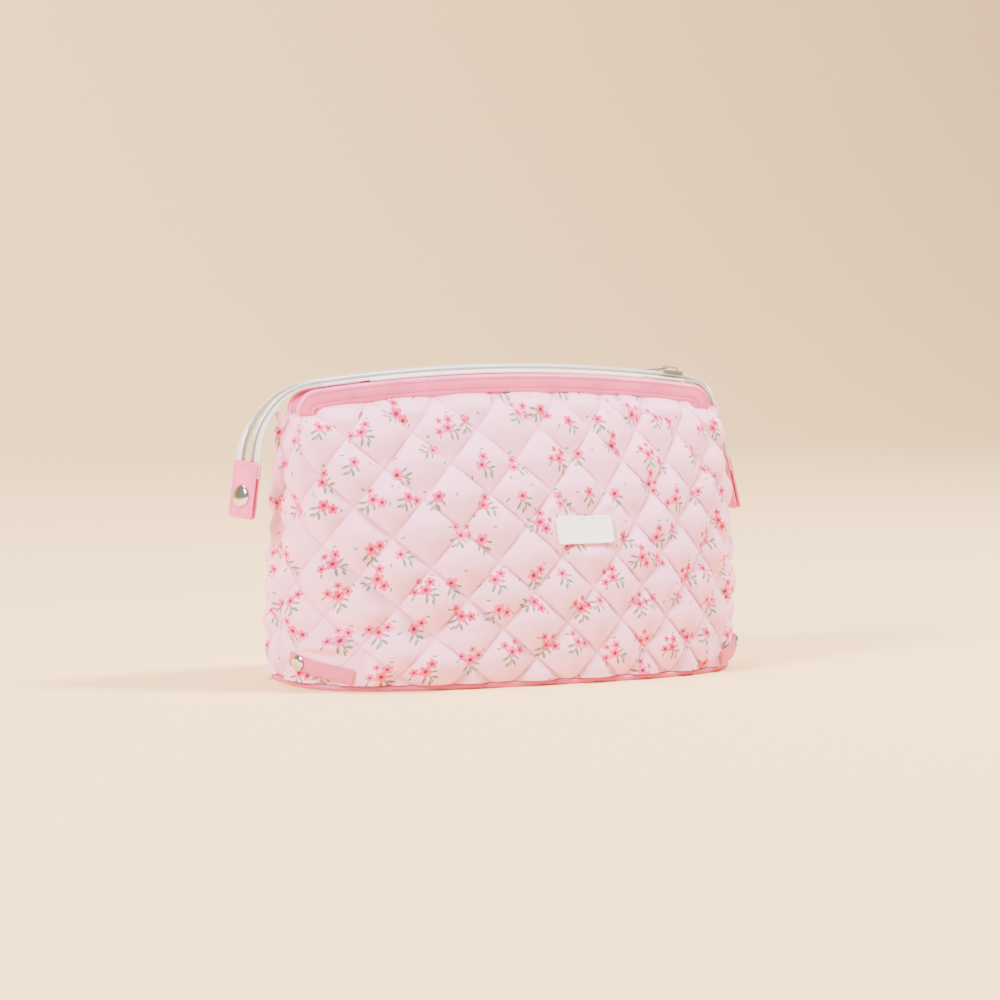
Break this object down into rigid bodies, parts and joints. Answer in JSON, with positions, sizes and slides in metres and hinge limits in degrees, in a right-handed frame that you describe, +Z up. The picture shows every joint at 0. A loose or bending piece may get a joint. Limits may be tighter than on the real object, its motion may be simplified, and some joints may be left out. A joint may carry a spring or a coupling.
{
  "type": "makeup bag",
  "caption": "Quilted padded makeup bag with a flat base, two hinged wire mouth frames, a coil zip with a slider, and snap tabs on both zip tails.",
  "frame": {"origin": "centre of the underside of the base", "axes": "+X along the mouth towards the zip's open end, +Y from the front to the back, +Z up"},
  "size_m": [0.3169, 0.14, 0.177],
  "materials": {
    "quilted_fabric": "matt printed cotton, pale pink, quilted in diamonds",
    "leatherette": "satin pink PU leatherette with a fine grain",
    "lining": "matt plain woven lining, deep pink",
    "board": "bare stiffener sheet",
    "zip_tape": "white woven tape",
    "zip_coil": "silver metallised nylon coil",
    "chrome": "polished nickel plate",
    "spring_steel": "drawn wire",
    "label_face": "smooth white soft plastic, blank"
  },
  "bodies": {
    "bag": {"base_panel": "leatherette", "base_board": "board", "lining_floor": "lining", "front_panel": "quilted_fabric", "back_panel": "quilted_fabric", "front_panel_top": "quilted_fabric", "back_panel_top": "quilted_fabric", "front_lining": "lining", "back_lining": "lining", "left_gusset": "quilted_fabric", "right_gusset": "quilted_fabric", "left_frame_pocket": "leatherette", "right_frame_pocket": "leatherette", "label": "label_face", "left_strap": "leatherette", "left_strap_stud": "chrome", "right_strap": "leatherette", "right_strap_stud": "chrome", "left_end_front_stringer": "zip_tape", "left_end_back_stringer": "zip_tape", "right_end_front_stringer": "zip_tape", "right_end_back_stringer": "zip_tape"},
    "front_frame": {"front_wire": "spring_steel", "front_band": "leatherette", "front_tape": "zip_tape", "front_coil": "zip_coil"},
    "back_frame": {"back_wire": "spring_steel", "back_band": "leatherette", "back_tape": "zip_tape", "back_coil": "zip_coil"},
    "slider": {"slider_body": "chrome"},
    "puller": {"puller": "chrome"},
    "left_tail": {"left_tail_front_stringer": "zip_tape", "left_tail_back_stringer": "zip_tape", "left_tab_outer": "leatherette", "left_tab_inner": "leatherette", "left_snap_cap": "chrome", "left_snap_socket": "chrome"},
    "right_tail": {"right_tail_front_stringer": "zip_tape", "right_tail_back_stringer": "zip_tape", "right_tab_outer": "leatherette", "right_tab_inner": "leatherette", "right_snap_cap": "chrome", "right_snap_socket": "chrome"}
  },
  "joints": [
    {"name": "front_frame_hinge", "type": "hinge", "parent": "bag", "child": "front_frame", "pos_m": [0, 0, 0.122], "axis": [1, 0, 0], "range_deg": [0, 40], "deforming": ["front_panel_top", "left_gusset", "right_gusset"]},
    {"name": "back_frame_hinge", "type": "hinge", "parent": "bag", "child": "back_frame", "pos_m": [0, 0, 0.122], "axis": [1, 0, 0], "range_deg": [-40, 0], "deforming": ["back_panel_top"]},
    {"name": "zip_slider", "type": "hinge", "parent": "bag", "child": "slider", "pos_m": [0, 0, -0.723], "axis": [0, 1, 0], "range_deg": [-13.4, 0]},
    {"name": "puller_hinge", "type": "hinge", "parent": "slider", "child": "puller", "pos_m": [0.10327, 0, 0.17317], "axis": [0, 1, 0], "range_deg": [0, 120]},
    {"name": "left_tail_bend", "type": "hinge", "parent": "bag", "child": "left_tail", "pos_m": [-0.11315, 0, 0.16986], "axis": [0, 1, 0], "range_deg": [-2, 60]},
    {"name": "right_tail_bend", "type": "hinge", "parent": "bag", "child": "right_tail", "pos_m": [0.11315, 0, 0.16986], "axis": [0, -1, 0], "range_deg": [-2, 60]}
  ],
  "couplings": [
    {"joint": "back_frame_hinge", "follows": "front_frame_hinge", "ratio": -1}
  ]
}
